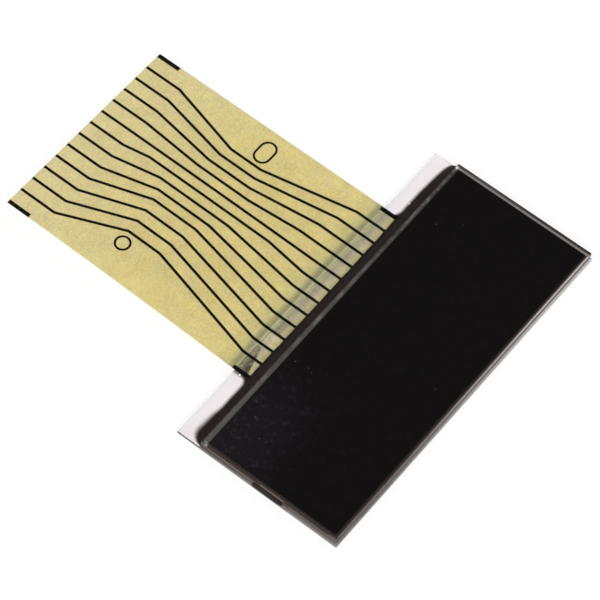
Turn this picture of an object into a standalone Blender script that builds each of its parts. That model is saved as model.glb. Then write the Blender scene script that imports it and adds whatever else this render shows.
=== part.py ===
"""Flat liquid-crystal display cell with a printed connector film bonded to its glass ledge.

Lengths are in metres. +X runs along the long side, +Y towards the connector film and +Z to the viewer.
The origin is the middle of the rear glass in plan, on the back face of the rear polarizer.
"""

from math import atan2, cos, pi, sin, sqrt

import bmesh
import bpy
from mathutils import Matrix, Vector

MM = 0.001

# Glass plates: the front one is shorter in Y and leaves a contact ledge on the rear one
GLASS_LENGTH = 58.5 * MM
GLASS_THICKNESS = 0.7 * MM
GLASS_ARRIS = 0.03 * MM
FRONT_GLASS_DEPTH = 24.0 * MM
LEDGE_DEPTH = 3.99 * MM
FRONT_GLASS_SHIFT = 0.27 * MM
FRONT_GLASS_SETBACK = 0.28 * MM

# Polarizers: both are cut to the front glass, less a margin on each side
POLARIZER_THICKNESS = 0.2 * MM
POLARIZER_CORNER = 0.25 * MM
MARGIN_LEFT = 0.58 * MM
MARGIN_RIGHT = 0.92 * MM
MARGIN_NEAR = 0.28 * MM
MARGIN_LEDGE = 0.7 * MM

# Cell between the plates
CELL_GAP = 0.03 * MM
SEAL_INSET = 0.3 * MM
SEAL_WIDTH = 1.0 * MM
SEAL_CORNER = 0.8 * MM
PORT_WIDTH = 2.4 * MM

# Resin that closes the fill port, on the left side
END_SEAL_LENGTH = 5.2 * MM
END_SEAL_SKIN = 0.1 * MM
END_SEAL_FOOT = 0.3 * MM
END_SEAL_TOP = 0.1 * MM
END_SEAL_TONGUE = 0.75 * MM
END_SEAL_END_SHARE = 0.3

# Connector film, as wide as its tracks and a margin beyond the outer ones
FILM_SIDE_MARGIN = 3.03 * MM
FILM_LENGTH = 45.5 * MM
FILM_THICKNESS = 0.1 * MM
FILM_SHIFT = 0.2 * MM
FILM_SETBACK = 0.65 * MM
FILM_LIFT = 1.42 * MM
FILM_SOFT_START = 1.0 * MM
FILM_CELL = 2.0 * MM

# Print under the film: tracks that narrow to a waist, index bars and two locating rings
PRINT_THICKNESS = 0.02 * MM
PRINT_SETBACK = 0.1 * MM
TRACK_COUNT = 12
STRAIGHT_TRACK = 7
TRACK_WIDTH = 0.38 * MM
TRACK_PITCH = 2.54 * MM
WAIST_PITCH = 1.73 * MM
OUTER_WAIST_PITCH = 2.13 * MM
OUTER_WAIST_FROM = 4
STRAIGHT_RUN = 6.3 * MM
BAR_WIDTH = 0.65 * MM
FREE_BAR_LENGTH = 3.95 * MM
GLASS_BAR_LENGTH = 3.65 * MM
RING_LINE = 0.26 * MM
OVAL_LENGTH = 4.05 * MM
OVAL_WIDTH = 2.75 * MM
OVAL_TRACK_GAP = 0.5 * MM
OVAL_ALONG_WAIST = 0.75
ROUND_DIAMETER = 2.5 * MM
ROUND_TRACK_GAP = 0.63 * MM
ROUND_ALONG_WAIST = 0.11

# Where the waist starts and ends on the track that is k steps from the straight one.
# Each (a, b, c) gives a share a + b * k + c / k of the span from the free end's bends to the ledge's edge.
LEFT_WAIST_START = (0.310, 0.0, -0.190)
LEFT_WAIST_END = (0.396, 0.0, 0.345)
RIGHT_WAIST_START = (0.270, 0.0195, 0.0)
RIGHT_WAIST_END = (0.485, 0.0, 0.073)
# The last bend lies this far off the ledge's edge, less so much for each step.
LEFT_LAST_BEND = (2.66 * MM, 0.25 * MM)
RIGHT_LAST_BEND = (8.46 * MM, 1.45 * MM)

# Adhesive that bonds the film's print to the ledge
ADHESIVE_THICKNESS = 0.025 * MM
ADHESIVE_SIDE_INSET = 0.3 * MM
ADHESIVE_EDGE_INSET = 0.14 * MM

# Sealant bead along the step from the front glass to the ledge
BEAD_REACH_ON_LEDGE = 1.85 * MM
BEAD_REACH_ON_FILM = 1.52 * MM
BEAD_TOP_DROP = 0.04 * MM
BEAD_FEATHER = 0.02 * MM
BEAD_END_INSET = 0.15 * MM
BEAD_LEFT_ROUND = 1.0 * MM
BEAD_RIGHT_ROUND = 3.0 * MM
BEAD_WAVE = 0.015 * MM
BEAD_WAVE_LENGTHS = (7.3 * MM, 3.1 * MM)
BEAD_STEP = 1.2 * MM
BEAD_END_SHARE = 0.08
LEFT_WICK_REACH = 1.55 * MM
RIGHT_WICK_REACH = 0.65 * MM
WICK_ROOT = 0.45 * MM
WICK_THINNING = 0.6
WICK_TIP_ANGLE = 0.2
WICK_SHOULDER = 0.6 * MM

# Clearances between pieces that are bonded on the real part
BOND_GAP = 0.01 * MM
CELL_CLEARANCE = 0.005 * MM
SIDE_GAP = 0.01 * MM
PORT_CLEARANCE = 0.05 * MM

# Levels of the stack
REAR_GLASS_Z = POLARIZER_THICKNESS + BOND_GAP
LEDGE_Z = REAR_GLASS_Z + GLASS_THICKNESS
FRONT_GLASS_Z = LEDGE_Z + CELL_GAP
FRONT_TOP_Z = FRONT_GLASS_Z + GLASS_THICKNESS
FRONT_POLARIZER_Z = FRONT_TOP_Z + BOND_GAP
FILL_Z = LEDGE_Z + CELL_CLEARANCE
FILL_THICKNESS = CELL_GAP - 2 * CELL_CLEARANCE
ADHESIVE_Z = LEDGE_Z + CELL_CLEARANCE
PRINT_Z = ADHESIVE_Z + ADHESIVE_THICKNESS + CELL_CLEARANCE
FILM_Z = PRINT_Z + PRINT_THICKNESS + BOND_GAP
FILM_TOP_Z = FILM_Z + FILM_THICKNESS

# Plan of the plates
REAR_GLASS_DEPTH = FRONT_GLASS_SETBACK + FRONT_GLASS_DEPTH + LEDGE_DEPTH
REAR_LEFT = -GLASS_LENGTH / 2
REAR_RIGHT = GLASS_LENGTH / 2
REAR_NEAR = -REAR_GLASS_DEPTH / 2
LEDGE_EDGE = REAR_GLASS_DEPTH / 2
FRONT_LEFT = REAR_LEFT + FRONT_GLASS_SHIFT
FRONT_RIGHT = REAR_RIGHT + FRONT_GLASS_SHIFT
FRONT_NEAR = REAR_NEAR + FRONT_GLASS_SETBACK
FRONT_FAR = FRONT_NEAR + FRONT_GLASS_DEPTH
FRONT_MIDDLE = (FRONT_NEAR + FRONT_FAR) / 2

# The film's own frame: its origin is the middle of the bonded end, at the ledge's level
FILM_WIDTH = TRACK_PITCH * (TRACK_COUNT - 1) + 2 * FILM_SIDE_MARGIN
FILM_START = FRONT_FAR + FILM_SETBACK
LEDGE_OVERLAP = LEDGE_EDGE - FILM_START
FREE_LENGTH = FILM_LENGTH - LEDGE_OVERLAP
BEAD_LEFT = REAR_LEFT + BEAD_END_INSET
BEAD_RIGHT = REAR_RIGHT - BEAD_END_INSET

WELD = 1e-6
DISSOLVE_ANGLE = 0.01
SMOOTH_ANGLE = pi / 6
ARC_STEPS = 8
BEAD_CURVE_STEPS = 8
BEAD_END_STEPS = 6
SHOULDER_STEPS = 4
WICK_STEPS = 4
END_SEAL_STEPS = 4
END_SEAL_SLICES = 10


def clear_scene():
    """Remove whatever the file starts with."""
    for item in list(bpy.data.objects):
        bpy.data.objects.remove(item, do_unlink=True)


def new_collection(name):
    """Add a collection to the scene."""
    collection = bpy.data.collections.new(name)
    bpy.context.scene.collection.children.link(collection)
    return collection


def linear(level):
    """Turn one display value from 0 to 255 into a linear one."""
    share = level / 255
    return share / 12.92 if share <= 0.04045 else ((share + 0.055) / 1.055) ** 2.4


def new_material(name, display_colour, roughness, metallic=0.0, transmission=0.0, alpha=1.0):
    """Make a plain surface from the colour seen on the part."""
    material = bpy.data.materials.new(name)
    material.use_nodes = True
    shader = material.node_tree.nodes["Principled BSDF"]
    colour = [linear(level) for level in display_colour]
    shader.inputs["Base Color"].default_value = (*colour, 1.0)
    shader.inputs["Roughness"].default_value = roughness
    shader.inputs["Metallic"].default_value = metallic
    shader.inputs["Transmission Weight"].default_value = transmission
    shader.inputs["Alpha"].default_value = alpha
    return material


def new_empty(name, collection, location=(0, 0, 0), parent=None):
    """Add a placing frame that other pieces hang from."""
    empty = bpy.data.objects.new(name, None)
    empty.location = location
    empty.parent = parent
    collection.objects.link(empty)
    return empty


def add_piece(name, mesh, material, location, parent):
    """Place a finished mesh as one named piece."""
    mesh.name = name
    mesh.materials.append(material)
    piece = bpy.data.objects.new(name, mesh)
    piece.location = location
    piece.parent = parent
    bpy.data.collections["lcd_screen"].objects.link(piece)
    return piece


def add_boolean(piece, tool_mesh, name, location, parent, operation):
    """Cut from, or join to, a piece the shape of a helper mesh."""
    tool = bpy.data.objects.new(name, tool_mesh)
    tool.location = location
    tool.parent = parent
    tool.display_type = "WIRE"
    tool.hide_render = True
    bpy.data.collections["cutters"].objects.link(tool)
    step = piece.modifiers.new(name, "BOOLEAN")
    step.operation = operation
    step.solver = "EXACT"
    step.object = tool


def add_arris(piece, width):
    """Break the sharp edges of a glass plate."""
    bevel = piece.modifiers.new("arris", "BEVEL")
    bevel.width = width
    bevel.segments = 1
    bevel.limit_method = "ANGLE"


def mesh_from(bm, name):
    """Write a working mesh out and free it."""
    mesh = bpy.data.meshes.new(name)
    bm.to_mesh(mesh)
    bm.free()
    return mesh


def slab(x_range, y_range, z_range):
    """Make a box mesh between the given bounds."""
    bm = bmesh.new()
    bmesh.ops.create_cube(bm, size=1.0)
    ranges = (x_range, y_range, z_range)
    bmesh.ops.scale(bm, vec=[high - low for low, high in ranges], verts=bm.verts)
    bmesh.ops.translate(bm, vec=[(low + high) / 2 for low, high in ranges], verts=bm.verts)
    return mesh_from(bm, "slab")


def plate(outlines, thickness):
    """Make a flat plate on z = 0 from one outer outline and any holes in it."""
    curve = bpy.data.curves.new("outline", "CURVE")
    curve.dimensions = "2D"
    curve.fill_mode = "BOTH"
    curve.extrude = thickness / 2
    for points in outlines:
        spline = curve.splines.new("POLY")
        spline.points.add(len(points) - 1)
        spline.use_cyclic_u = True
        for point, (x, y) in zip(spline.points, points):
            point.co = (x, y, 0.0, 1.0)
    helper = bpy.data.objects.new("outline", curve)
    bpy.context.scene.collection.objects.link(helper)
    evaluated = helper.evaluated_get(bpy.context.evaluated_depsgraph_get())
    mesh = bpy.data.meshes.new_from_object(evaluated)
    bpy.data.objects.remove(helper, do_unlink=True)
    bm = bmesh.new()
    bm.from_mesh(mesh)
    bmesh.ops.remove_doubles(bm, verts=bm.verts, dist=WELD)
    bmesh.ops.dissolve_limit(bm, angle_limit=DISSOLVE_ANGLE, verts=bm.verts, edges=bm.edges)
    bmesh.ops.translate(bm, vec=(0, 0, thickness / 2), verts=bm.verts)
    bmesh.ops.recalc_face_normals(bm, faces=bm.faces)
    bm.to_mesh(mesh)
    bm.free()
    return mesh


def slice_mesh(mesh, normal, distances):
    """Cut edges into a mesh where planes at the given distances cross it."""
    bm = bmesh.new()
    bm.from_mesh(mesh)
    direction = Vector(normal)
    for distance in distances:
        geometry = bm.verts[:] + bm.edges[:] + bm.faces[:]
        bmesh.ops.bisect_plane(bm, geom=geometry, dist=WELD, plane_co=direction * distance, plane_no=direction)
    bm.to_mesh(mesh)
    bm.free()


def steps_between(low, high, step):
    """Give evenly spaced values inside a range, no further apart than step."""
    count = max(1, round((high - low) / step))
    return [low + (high - low) * i / count for i in range(1, count)]


def arc(centre, radius, start, end, steps):
    """Give the points of an arc, with its angles in radians."""
    angles = [start + (end - start) * i / steps for i in range(steps + 1)]
    return [(centre[0] + radius * cos(a), centre[1] + radius * sin(a)) for a in angles]


def rounded_rectangle(x_range, y_range, radius):
    """Give the outline of a rectangle with round corners, anticlockwise."""
    corners = ((1, 1, 0.0), (0, 1, pi / 2), (0, 0, pi), (1, 0, 3 * pi / 2))
    points = []
    for at_high_x, at_high_y, start in corners:
        x = x_range[1] - radius if at_high_x else x_range[0] + radius
        y = y_range[1] - radius if at_high_y else y_range[0] + radius
        points += arc((x, y), radius, start, start + pi / 2, ARC_STEPS)
    return points


def film_lift(x, y):
    """Give the film's height over the ledge level: flat on the ledge, then rising to the left free corner."""
    past_ledge = max(y - LEDGE_OVERLAP, 0.0)
    softened = sqrt(past_ledge ** 2 + FILM_SOFT_START ** 2) - FILM_SOFT_START
    full = sqrt(FREE_LENGTH ** 2 + FILM_SOFT_START ** 2) - FILM_SOFT_START
    along = softened / full
    across = (FILM_WIDTH / 2 - x) / FILM_WIDTH
    return FILM_LIFT * (2 * along - along ** 2) * across


def film_rows():
    """Give the rows where the film and its print are creased, so that they bend alike."""
    on_ledge = steps_between(0.0, LEDGE_OVERLAP, FILM_CELL)
    free = steps_between(LEDGE_OVERLAP, FILM_LENGTH, FILM_CELL)
    return [*on_ledge, LEDGE_OVERLAP, *free]


def lift_with_film(mesh):
    """Crease a flat mesh along the film's rows and raise it with the film."""
    slice_mesh(mesh, (0, 1, 0), film_rows())
    for vertex in mesh.vertices:
        vertex.co.z += film_lift(vertex.co.x, vertex.co.y)


def waist_x(step):
    """Give the offset from the straight track at the waist, for a signed count of steps."""
    inner = min(abs(step), OUTER_WAIST_FROM) if step < 0 else abs(step)
    outer = abs(step) - inner
    offset = inner * WAIST_PITCH + outer * OUTER_WAIST_PITCH
    return offset if step > 0 else -offset


def waist_distance(rule, count):
    """Give how far from the first bends a track reaches or leaves its waist."""
    span = FILM_LENGTH - STRAIGHT_RUN - LEDGE_OVERLAP
    return span * (rule[0] + rule[1] * count + rule[2] / count)


def track_centre_line(index):
    """Give the centre line of one track, from the bonded end to the free end."""
    end_x = TRACK_PITCH * (index - (TRACK_COUNT - 1) / 2)
    step = index - STRAIGHT_TRACK
    if step == 0:
        return [(end_x, PRINT_SETBACK), (end_x, FILM_LENGTH)]
    left = step < 0
    count = abs(step)
    first_bend = FILM_LENGTH - STRAIGHT_RUN
    waist_start = first_bend - waist_distance(LEFT_WAIST_START if left else RIGHT_WAIST_START, count)
    waist_end = first_bend - waist_distance(LEFT_WAIST_END if left else RIGHT_WAIST_END, count)
    last_offset, last_step = LEFT_LAST_BEND if left else RIGHT_LAST_BEND
    last_bend = LEDGE_OVERLAP + last_offset - last_step * count
    middle_x = end_x - step * TRACK_PITCH + waist_x(step)
    return [
        (end_x, PRINT_SETBACK),
        (end_x, last_bend),
        (middle_x, waist_end),
        (middle_x, waist_start),
        (end_x, first_bend),
        (end_x, FILM_LENGTH),
    ]


def beside_waist(index, offset, along):
    """Give the point beside a track's waist, at a share of the waist from its free end's side."""
    points = track_centre_line(index)
    (waist_x_position, low), (_, high) = points[2], points[3]
    return waist_x_position + offset, high - along * (high - low)


def band(points, width):
    """Give the outline of a band of one width along a centre line, with mitred bends."""
    right, left = [], []
    for i, (x, y) in enumerate(points):
        before = points[max(i - 1, 0)]
        after = points[min(i + 1, len(points) - 1)]
        into = atan2(y - before[1], x - before[0]) if i > 0 else atan2(after[1] - y, after[0] - x)
        out = atan2(after[1] - y, after[0] - x) if i < len(points) - 1 else into
        middle = (into + out) / 2
        reach = width / 2 / cos((out - into) / 2)
        right.append((x + reach * sin(middle), y - reach * cos(middle)))
        left.append((x - reach * sin(middle), y + reach * cos(middle)))
    return right + left[::-1]


def make_polarizers(display, material):
    """Rear and front polarizers, with the same plan."""
    x_range = (FRONT_LEFT + MARGIN_LEFT, FRONT_RIGHT - MARGIN_RIGHT)
    y_range = (FRONT_NEAR + MARGIN_NEAR, FRONT_FAR - MARGIN_LEDGE)
    outline = rounded_rectangle(x_range, y_range, POLARIZER_CORNER)
    for name, level in (("rear_polarizer", 0.0), ("front_polarizer", FRONT_POLARIZER_Z)):
        add_piece(name, plate([outline], POLARIZER_THICKNESS), material, (0, 0, level), display)


def make_glass(display, material):
    """Two glass plates with broken edges."""
    half_length = GLASS_LENGTH / 2
    plates = (
        ("rear_glass", REAR_GLASS_DEPTH, (0, 0, REAR_GLASS_Z)),
        ("front_glass", FRONT_GLASS_DEPTH, (FRONT_GLASS_SHIFT, FRONT_MIDDLE, FRONT_GLASS_Z)),
    )
    for name, depth, location in plates:
        mesh = slab((-half_length, half_length), (-depth / 2, depth / 2), (0, GLASS_THICKNESS))
        add_arris(add_piece(name, mesh, material, location, display), GLASS_ARRIS)


def make_cell(display, seal_material, fluid_material):
    """Perimeter seal with its fill port, and the liquid crystal inside it."""
    x_range = (FRONT_LEFT + SEAL_INSET, REAR_RIGHT - SEAL_INSET)
    y_range = (FRONT_NEAR + SEAL_INSET, FRONT_FAR - SEAL_INSET)
    inner_x = (x_range[0] + SEAL_WIDTH, x_range[1] - SEAL_WIDTH)
    inner_y = (y_range[0] + SEAL_WIDTH, y_range[1] - SEAL_WIDTH)
    outer_line = rounded_rectangle(x_range, y_range, SEAL_CORNER)
    inner_line = rounded_rectangle(inner_x, inner_y, SEAL_CORNER)
    ring = plate([outer_line, inner_line], FILL_THICKNESS)
    seal = add_piece("edge_seal", ring, seal_material, (0, 0, FILL_Z), display)
    port_x = (x_range[0] - SEAL_INSET, inner_x[0] + SEAL_WIDTH / 2)
    port = slab(port_x, (-PORT_WIDTH / 2, PORT_WIDTH / 2), (-FILL_THICKNESS, 2 * FILL_THICKNESS))
    add_boolean(seal, port, "fill_port", (0, FRONT_MIDDLE, FILL_Z), display, "DIFFERENCE")
    fluid_x = (inner_x[0] + SIDE_GAP, inner_x[1] - SIDE_GAP)
    fluid_y = (inner_y[0] + SIDE_GAP, inner_y[1] - SIDE_GAP)
    fluid = plate([rounded_rectangle(fluid_x, fluid_y, SEAL_CORNER)], FILL_THICKNESS)
    add_piece("liquid_crystal", fluid, fluid_material, (0, 0, FILL_Z), display)


def end_seal_outline():
    """Give the section of the end seal in X and Z: a skin over the plates' stepped side."""
    rear_x = REAR_LEFT - SIDE_GAP
    front_x = FRONT_LEFT - SIDE_GAP
    foot_z = REAR_GLASS_Z + END_SEAL_FOOT
    top_z = FRONT_TOP_Z - END_SEAL_TOP
    skin_x = rear_x - END_SEAL_SKIN
    shoulder_z = FILL_Z + END_SEAL_SKIN
    turns = [pi / 2 * i / END_SEAL_STEPS for i in range(END_SEAL_STEPS + 1)]
    belly = [(rear_x - END_SEAL_SKIN * sin(a), foot_z + (FILL_Z - foot_z) * (1 - cos(a)) / 2)
             for a in turns[1:]]
    slope = [(front_x + (skin_x - front_x) * cos(a), shoulder_z + (top_z - shoulder_z) * sin(a))
             for a in turns[:-1]]
    contact = [(front_x, top_z), (front_x, FILL_Z), (rear_x, FILL_Z), (rear_x, foot_z)]
    return contact + belly + slope


def make_end_seal(display, material):
    """Dark resin over the fill port, with a tongue that closes the port itself."""
    mesh = plate([end_seal_outline()], END_SEAL_LENGTH)
    mesh.transform(Matrix.Rotation(pi / 2, 4, "X") @ Matrix.Translation((0, 0, -END_SEAL_LENGTH / 2)))
    half = END_SEAL_LENGTH / 2
    slice_mesh(mesh, (0, 1, 0), [half * cos(pi * i / END_SEAL_SLICES) for i in range(1, END_SEAL_SLICES)])
    rear_x = REAR_LEFT - SIDE_GAP
    for vertex in mesh.vertices:
        x, y, z = vertex.co
        fullness = sqrt(max(1 - (y / half) ** 2, 0.0)) * (1 - END_SEAL_END_SHARE) + END_SEAL_END_SHARE
        vertex.co.z = FILL_Z + (z - FILL_Z) * fullness
        if x < rear_x:
            vertex.co.x = rear_x + (x - rear_x) * fullness
    mesh.shade_smooth()
    mesh.set_sharp_from_angle(angle=SMOOTH_ANGLE)
    seal = add_piece("end_seal", mesh, material, (0, FRONT_MIDDLE, 0), display)
    tongue_x = (FRONT_LEFT - 2 * SIDE_GAP, FRONT_LEFT + END_SEAL_TONGUE)
    tongue_half = PORT_WIDTH / 2 - PORT_CLEARANCE
    tongue = slab(tongue_x, (-tongue_half, tongue_half), (FILL_Z, FILL_Z + FILL_THICKNESS))
    add_boolean(seal, tongue, "port_tongue", (0, FRONT_MIDDLE, 0), display, "UNION")


def make_film(connector, material):
    """Connector film: flat where it is bonded, its left free corner gently lifted."""
    half = FILM_WIDTH / 2
    mesh = slab((-half, half), (0, FILM_LENGTH), (0, FILM_THICKNESS))
    slice_mesh(mesh, (1, 0, 0), steps_between(-half, half, FILM_CELL))
    lift_with_film(mesh)
    add_piece("connector_film", mesh, material, (0, 0, FILM_Z - LEDGE_Z), connector)


def add_print(name, outlines, material, connector):
    """Print one flat shape on the underside of the film."""
    mesh = plate(outlines, PRINT_THICKNESS)
    lift_with_film(mesh)
    return add_piece(name, mesh, material, (0, 0, PRINT_Z - LEDGE_Z), connector)


def make_tracks(connector, material):
    """Twelve tracks at one pitch at both ends, drawn together to a waist between them."""
    for index in range(TRACK_COUNT):
        outline = band(track_centre_line(index), TRACK_WIDTH)
        add_print(f"track_{index + 1:02d}", [outline], material, connector)


def make_index_bars(connector, material):
    """Wide bars along the film's sides, at the free end and on the glass."""
    bar_x = (FILM_WIDTH - BAR_WIDTH) / 2
    free = (FILM_LENGTH - FREE_BAR_LENGTH, FILM_LENGTH)
    bonded = (PRINT_SETBACK, PRINT_SETBACK + GLASS_BAR_LENGTH)
    for place, (low, high) in (("free", free), ("glass", bonded)):
        for side, x in (("left", -bar_x), ("right", bar_x)):
            outline = band([(x, low), (x, high)], BAR_WIDTH)
            add_print(f"index_bar_{place}_{side}", [outline], material, connector)


def stadium(centre, length, width):
    """Give the outline of a long hole shape, with its length along X."""
    radius = width / 2
    offset = length / 2 - radius
    right = arc((centre[0] + offset, centre[1]), radius, -pi / 2, pi / 2, 2 * ARC_STEPS)
    left = arc((centre[0] - offset, centre[1]), radius, pi / 2, 3 * pi / 2, 2 * ARC_STEPS)
    return right + left


def make_rings(connector, material):
    """Printed locating rings beside the outer tracks' waists, oval on the right and round on the left."""
    oval_offset = (TRACK_WIDTH + OVAL_LENGTH) / 2 + OVAL_TRACK_GAP
    round_offset = (TRACK_WIDTH + ROUND_DIAMETER) / 2 + ROUND_TRACK_GAP
    oval_centre = beside_waist(TRACK_COUNT - 1, oval_offset, OVAL_ALONG_WAIST)
    round_centre = beside_waist(0, -round_offset, ROUND_ALONG_WAIST)
    inner_length = OVAL_LENGTH - 2 * RING_LINE
    inner_width = OVAL_WIDTH - 2 * RING_LINE
    oval = [stadium(oval_centre, OVAL_LENGTH, OVAL_WIDTH), stadium(oval_centre, inner_length, inner_width)]
    radii = (ROUND_DIAMETER / 2, ROUND_DIAMETER / 2 - RING_LINE)
    circle = [arc(round_centre, radius, 0, 2 * pi, 4 * ARC_STEPS)[:-1] for radius in radii]
    for name, outlines in (("oval_ring", oval), ("round_ring", circle)):
        ring = add_print(name, outlines, material, connector)
        ring.data.shade_smooth()
        ring.data.set_sharp_from_angle(angle=SMOOTH_ANGLE)


def make_adhesive(connector, material):
    """Thin adhesive between the ledge and the print."""
    half = FILM_WIDTH / 2 - ADHESIVE_SIDE_INSET
    mesh = slab((-half, half), (0, LEDGE_OVERLAP - ADHESIVE_EDGE_INSET), (0, ADHESIVE_THICKNESS))
    add_piece("bond_adhesive", mesh, material, (0, 0, ADHESIVE_Z - LEDGE_Z), connector)


def bead_fullness(x):
    """Give how full the bead is at x, as a share that falls off in a quarter round at each end."""
    left = (BEAD_LEFT + BEAD_LEFT_ROUND - x) / BEAD_LEFT_ROUND
    right = (x - BEAD_RIGHT + BEAD_RIGHT_ROUND) / BEAD_RIGHT_ROUND
    outward = min(max(left, right, 0.0), 1.0)
    return sqrt(1 - outward ** 2) * (1 - BEAD_END_SHARE) + BEAD_END_SHARE


def over_film(x):
    """Give 1 where the bead lies on the film, falling to 0 just beside it."""
    beside = abs(x - FILM_SHIFT) - FILM_WIDTH / 2 - SIDE_GAP
    share = min(max(1 - beside / WICK_SHOULDER, 0.0), 1.0)
    return share * share * (3 - 2 * share)


def bead_point(x, across, level):
    """Place a point of the bead's unit section: level 0 is its foot, 1 its toe's top and 2 its crest."""
    fullness = bead_fullness(x)
    wave = sum(sin(2 * pi * x / length) for length in BEAD_WAVE_LENGTHS)
    on_film = over_film(x)
    middle_reach = BEAD_REACH_ON_LEDGE + (BEAD_REACH_ON_FILM - BEAD_REACH_ON_LEDGE) * on_film
    reach = (middle_reach + BEAD_WAVE * wave) * fullness
    foot = LEDGE_Z + CELL_CLEARANCE
    toe = foot + BEAD_FEATHER + (FILM_TOP_Z + BOND_GAP - foot) * on_film
    crest = toe + (FRONT_TOP_Z - BEAD_TOP_DROP - toe) * (1 + fullness) / 2
    if level <= 1:
        z = foot + (toe - foot) * level
    else:
        z = toe + (crest - toe) * (level - 1)
    return x, FRONT_FAR + SIDE_GAP + reach * across, z


def bead_stations():
    """Give the bead's sections along X, closer together at its round ends and at the film's sides."""
    turns = [pi / 2 * i / BEAD_END_STEPS for i in range(1, BEAD_END_STEPS)]
    left = [BEAD_LEFT + BEAD_LEFT_ROUND * (1 - cos(turn)) for turn in turns]
    right = [BEAD_RIGHT - BEAD_RIGHT_ROUND * (1 - cos(turn)) for turn in turns]
    middle = steps_between(BEAD_LEFT + BEAD_LEFT_ROUND, BEAD_RIGHT - BEAD_RIGHT_ROUND, BEAD_STEP)
    shoulders = []
    for side in (-1, 1):
        edge = FILM_SHIFT + side * (FILM_WIDTH / 2 + SIDE_GAP)
        shoulders += [edge + side * WICK_SHOULDER * i / SHOULDER_STEPS for i in range(SHOULDER_STEPS + 1)]
    return sorted(left + middle + shoulders + right)


def wick(side, reach):
    """Make the fillet that crept up the film's side, thinning away from it."""
    edge = FILM_SHIFT + side * (FILM_WIDTH / 2 + SIDE_GAP)
    toe_y = FRONT_FAR + BEAD_REACH_ON_FILM
    root_y = toe_y - WICK_ROOT
    tip = pi + WICK_TIP_ANGLE
    curve = arc((reach, toe_y + reach), reach, tip, 3 * pi / 2, ARC_STEPS)
    inner = -2 * SIDE_GAP
    outline = [(inner, root_y), (inner, curve[0][1]), *curve, (reach, root_y)]
    foot = LEDGE_Z + CELL_CLEARANCE
    mesh = plate([outline], FILM_TOP_Z - foot)
    slice_mesh(mesh, (1, 0, 0), steps_between(0, reach, reach / WICK_STEPS))
    bm = bmesh.new()
    bm.from_mesh(mesh)
    for vertex in bm.verts:
        thinning = 1 - WICK_THINNING * max(vertex.co.x, 0.0) / reach
        vertex.co = (edge + side * vertex.co.x, vertex.co.y, foot + vertex.co.z * thinning)
    bmesh.ops.recalc_face_normals(bm, faces=bm.faces)
    bm.to_mesh(mesh)
    bm.free()
    return mesh


def make_bead(display, connector, material):
    """Sealant bead, lofted along the step, with fillets beside the film and a pocket for its end."""
    shares = [i / BEAD_CURVE_STEPS for i in range(BEAD_CURVE_STEPS + 1)]
    slope = [(1 - share, 1 + (1 - cos(pi * share)) / 2) for share in shares]
    length = BEAD_RIGHT - BEAD_LEFT
    mesh = plate([[(0, 0), (1, 0), *slope]], length)
    mesh.transform(Matrix(((0, 0, 1, BEAD_LEFT), (1, 0, 0, 0), (0, 1, 0, 0), (0, 0, 0, 1))))
    slice_mesh(mesh, (1, 0, 0), bead_stations())
    for vertex in mesh.vertices:
        vertex.co = bead_point(*vertex.co)
    mesh.shade_smooth()
    mesh.set_sharp_from_angle(angle=SMOOTH_ANGLE)
    bead = add_piece("sealant_bead", mesh, material, (0, 0, 0), display)
    for side, reach, name in ((-1, LEFT_WICK_REACH, "left_wick"), (1, RIGHT_WICK_REACH, "right_wick")):
        add_boolean(bead, wick(side, reach), name, (0, 0, 0), display, "UNION")
    half = FILM_WIDTH / 2 + SIDE_GAP
    pocket_z = (-GLASS_THICKNESS, FILM_TOP_Z - LEDGE_Z + BOND_GAP)
    pocket = slab((-half, half), (-SIDE_GAP, FILM_LENGTH), pocket_z)
    add_boolean(bead, pocket, "film_pocket", (0, 0, 0), connector, "DIFFERENCE")


def build():
    """Make every piece of the display."""
    clear_scene()
    parts = new_collection("lcd_screen")
    new_collection("cutters")
    display = new_empty("display_frame", parts)
    connector = new_empty("connector_frame", parts, (FILM_SHIFT, FILM_START, LEDGE_Z), display)

    glass = new_material("glass", (234, 240, 238), 0.03, transmission=0.9)
    polarizer = new_material("polarizer", (20, 18, 19), 0.25)
    seal = new_material("perimeter_seal", (58, 54, 50), 0.5)
    resin = new_material("port_resin", (63, 56, 53), 0.35)
    fluid = new_material("liquid_crystal", (24, 22, 26), 0.1)
    film = new_material("polyester_film", (215, 205, 130), 0.3, transmission=0.8, alpha=0.55)
    ink = new_material("carbon_ink", (20, 18, 18), 0.6)
    adhesive = new_material("bond_adhesive", (176, 170, 130), 0.4, alpha=0.6)
    sealant = new_material("sealant", (40, 35, 32), 0.35)

    make_polarizers(display, polarizer)
    make_glass(display, glass)
    make_cell(display, seal, fluid)
    make_end_seal(display, resin)
    make_adhesive(connector, adhesive)
    make_tracks(connector, ink)
    make_index_bars(connector, ink)
    make_rings(connector, ink)
    make_film(connector, film)
    make_bead(display, connector, sealant)


build()
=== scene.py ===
"""Dressed scene of a small flat display cell with its printed connector film.

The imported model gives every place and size. The pieces made here take over the film, the tracks and rings
printed on it, the sealant, the resin over the fill port, both glass plates and both polarizers. The index
bars, the bond adhesive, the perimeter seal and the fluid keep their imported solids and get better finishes.
Places in the finishes are in millimetres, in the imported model's frame: a pair tells where a change starts
and where it is whole, and a third number after a stretch tells how wide its soft ends are.
"""

from __future__ import annotations

import logging
from dataclasses import dataclass
from enum import Enum, IntEnum
from functools import cache
from math import cos, pi, radians, sin, sqrt

import bmesh
import bpy
from mathutils import Matrix, Vector, noise


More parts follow.
